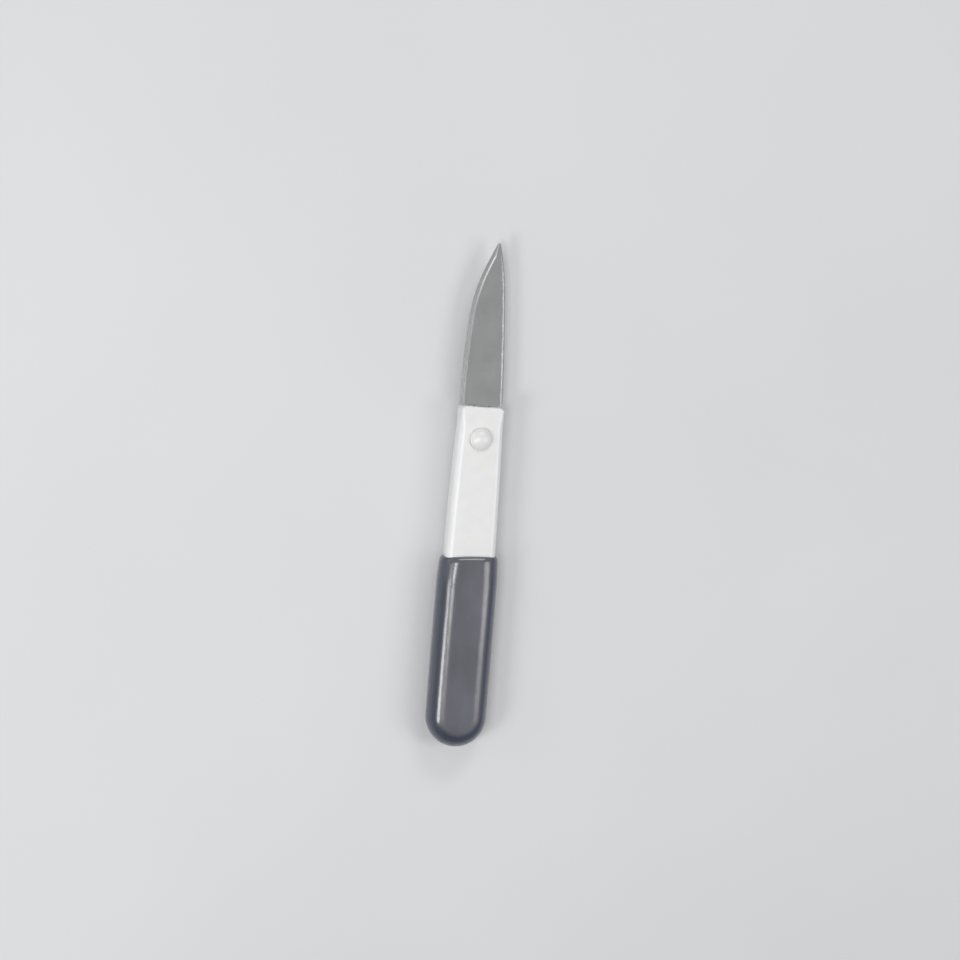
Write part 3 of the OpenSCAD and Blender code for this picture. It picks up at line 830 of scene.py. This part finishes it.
def make_blade():
    """The blade, with its tang and the tang's two pin holes."""
    steps = 110
    crowding = 1.5  # above 1, the rings crowd towards the tip
    verts, loops = [], []
    for i in range(steps + 1):
        s = HEEL_S + BLADE_L * (1 - (1 - i / steps) ** crowding)
        upper = blade_section(s)
        start = len(verts)
        verts += [(x, s, z) for x, z in upper] + [(x, s, -z) for x, z in reversed(upper)]
        loops.append(list(range(start, len(verts))))
    blade = make_object("blade_steel", verts, capped(loops))
    tidy_mesh(blade)
    cut(blade, [block(-TANG_X, TANG_X, HANDLE_L - TANG_REACH, HEEL_S + TANG_ROOT,
                      -BLADE_T / 2, BLADE_T / 2)], "UNION")
    cut(blade, [rod(PIN_HOLE_R, -1, 1, 0, HANDLE_L - depth) for depth in PIN_DEPTHS])
    tidy_mesh(blade, sharp=math.radians(6))
    dress(blade, "blade_spindle", "blade_steel", "blade")


# ---------------------------------------------------------------- CAD nodes that stay as they are
def dress_cad_nodes():
    """Gives every CAD node the material of its slot, also those that a piece replaces."""
    for part in frame["record"]["subparts"]:
        data = frame["nodes"][part["node"]].data
        data.materials.clear()
        data.materials.append(MATERIALS[part["material_slot"]])


# ---------------------------------------------------------------- studio
FLOOR_REACH = 3.0       # metres
FLOOR_DARK, FLOOR_MID, FLOOR_LIGHT = (0.645, 0.655, 0.665), (0.66, 0.67, 0.68), (0.675, 0.685, 0.695)


def add_floor():
    mesh = bpy.data.meshes.new("floor")
    corners = ((-1, -1), (1, -1), (1, 1), (-1, 1))
    mesh.from_pydata([(x * FLOOR_REACH, y * FLOOR_REACH, 0) for x, y in corners], [], [(0, 1, 2, 3)])
    floor = bpy.data.objects.new("floor", mesh)
    bpy.context.collection.objects.link(floor)
    mat, shader = new_material("floor", FLOOR_MID, 0.7)
    tint(mat, noise(mat, 6, 3), FLOOR_DARK, FLOOR_LIGHT, shader.inputs["Base Color"])
    mesh.materials.append(mat)


WORLD_COLOUR, WORLD_STRENGTH = (0.97, 0.98, 1.0), 0.34
LIGHT_DISTANCE = 0.8    # metres, from the knife's middle
LIGHTS = [              # name, degrees across and tipward, width, length, watts
    ("left_strip", -20, -3, 0.22, 0.2, 1.5),
    ("low_left_strip", -45, -17, 0.22, 0.22, 1.65),
    ("right_strip", 40, -2, 0.4, 0.32, 1.5),
    ("left_fill", -78, 20, 0.5, 0.8, 1.05),
    ("tip_box", 10, 50, 0.3, 0.16, 1.2),
]


def add_light(name, across, tipward, width, length, power):
    """A soft box that faces the knife. across tilts it from overhead to the right and tipward
    towards the tip, in degrees. Its length lies along the knife."""
    data = bpy.data.lights.new(name, "AREA")
    data.shape = "RECTANGLE"
    data.size, data.size_y = width, length
    data.energy = power
    light = bpy.data.objects.new(name, data)
    bpy.context.collection.objects.link(light)
    a, b = math.radians(across), math.radians(tipward)
    back = Vector((math.sin(a) * math.cos(b), math.sin(b), math.cos(a) * math.cos(b)))
    right = Vector((math.cos(a), 0, -math.sin(a)))
    light.location = back * LIGHT_DISTANCE
    light.rotation_euler = Matrix((right, back.cross(right), back)).transposed().to_euler()


def add_studio():
    world = bpy.data.worlds.new("studio")
    world.use_nodes = True
    background = world.node_tree.nodes["Background"]
    background.inputs["Color"].default_value = (*WORLD_COLOUR, 1)
    background.inputs["Strength"].default_value = WORLD_STRENGTH
    bpy.context.scene.world = world
    for light in LIGHTS:
        add_light(*light)
    bpy.context.scene.view_settings.view_transform = "Standard"


dress_cad_nodes()
make_sleeve()
make_front_shell()
make_back_shell()
make_button()
make_spring()
make_screws()
make_blade()
add_floor()
add_studio()
